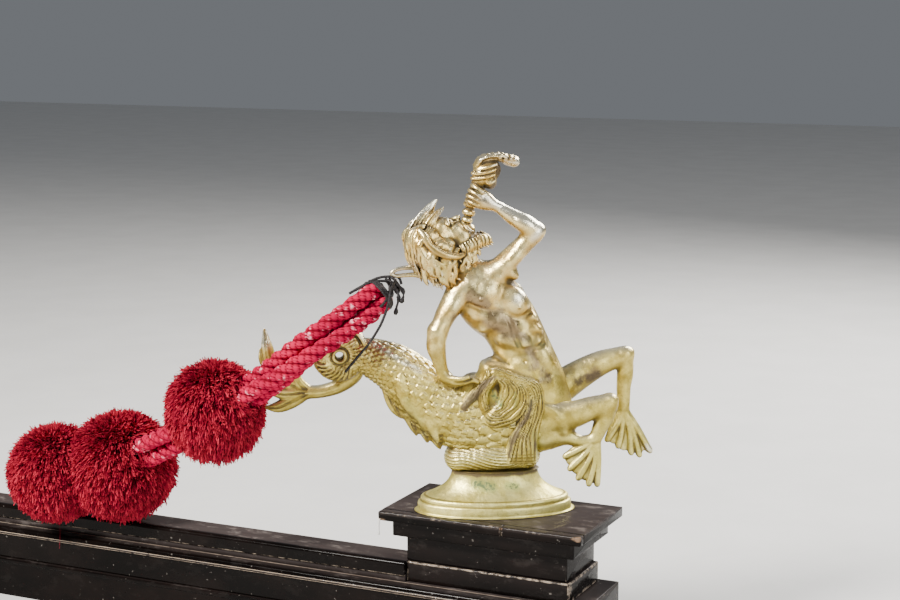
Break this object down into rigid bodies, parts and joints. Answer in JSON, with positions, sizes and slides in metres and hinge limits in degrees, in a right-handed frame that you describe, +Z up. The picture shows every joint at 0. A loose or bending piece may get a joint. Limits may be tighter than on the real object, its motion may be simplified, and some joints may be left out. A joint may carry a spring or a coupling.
{
  "type": "gondola armrest rail end with brass merman ornament",
  "caption": "Black lacquered boat armrest moulding with a stepped block, a cast brass merman blowing a shell horn, and a bundle of red braided rope with wool pompoms",
  "frame": {"origin": "underside of the armrest moulding, below the middle of the brass foot", "axes": "+X forward along the boat, +Z up, -Y outboard"},
  "size_m": [0.5971, 0.1873, 0.3774],
  "materials": {
    "lacquered_wood": "gloss black lacquer, worn at the edges",
    "cast_brass": "cast, hand worn, pale oxide in the hollows",
    "red_braid": "round braided cord, slightly faded",
    "red_wool": "shaggy wool",
    "black_string": "twisted string"
  },
  "bodies": {
    "root": {"sill_board": "lacquered_wood", "nosed_board": "lacquered_wood", "arm_rail": "lacquered_wood", "block_plinth": "lacquered_wood", "block_neck": "lacquered_wood", "block_cornice": "lacquered_wood", "block_slab": "lacquered_wood", "slab_strip_aft": "lacquered_wood", "slab_strip_fore": "lacquered_wood", "oval_foot": "cast_brass", "wave_mound": "cast_brass", "fish_body": "cast_brass", "belly_fin": "cast_brass", "tail_coil": "cast_brass", "tail_stem": "cast_brass", "tail_fin": "cast_brass", "near_waist_leaves": "cast_brass", "far_waist_leaves": "cast_brass", "near_leg": "cast_brass", "far_leg": "cast_brass", "near_foot": "cast_brass", "far_foot": "cast_brass", "torso": "cast_brass", "head": "cast_brass", "hair": "cast_brass", "beard": "cast_brass", "raised_arm": "cast_brass", "raised_hand": "cast_brass", "akimbo_arm": "cast_brass", "akimbo_hand": "cast_brass", "conch": "cast_brass", "rope_hook": "cast_brass", "rope_upper": "red_braid", "rope_front": "red_braid", "rope_lower": "red_braid", "pompom_upper": "red_wool", "pompom_middle": "red_wool", "pompom_end": "red_wool", "lashing_band": "black_string", "lashing_knot": "black_string", "lashing_tail": "black_string"}
  },
  "joints": []
}
